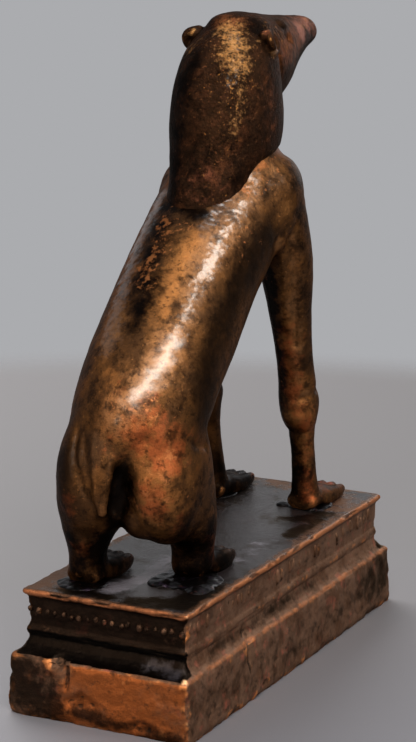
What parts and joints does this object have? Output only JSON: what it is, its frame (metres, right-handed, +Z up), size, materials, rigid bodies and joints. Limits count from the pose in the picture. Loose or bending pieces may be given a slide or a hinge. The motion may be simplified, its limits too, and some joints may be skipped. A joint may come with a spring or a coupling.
{
  "type": "animal statuette on a plinth",
  "caption": "Statuette of the ammit: a long-snouted beast with a heavy mane and a steeply sloping back, standing on thin forelegs on a moulded oblong plinth.",
  "frame": {"origin": "middle of the plinth's underside", "axes": "+Z up; the animal faces -Y and its left side is +X"},
  "size_m": [0.036, 0.0924, 0.1191],
  "materials": {
    "plinth_bronze": "dark patina, worn to copper on the edges",
    "figure_bronze": "brown patina over bronze, rubbed bright on the back and mane"
  },
  "bodies": {
    "root": {"plinth": "plinth_bronze", "figure": "figure_bronze"}
  },
  "joints": []
}
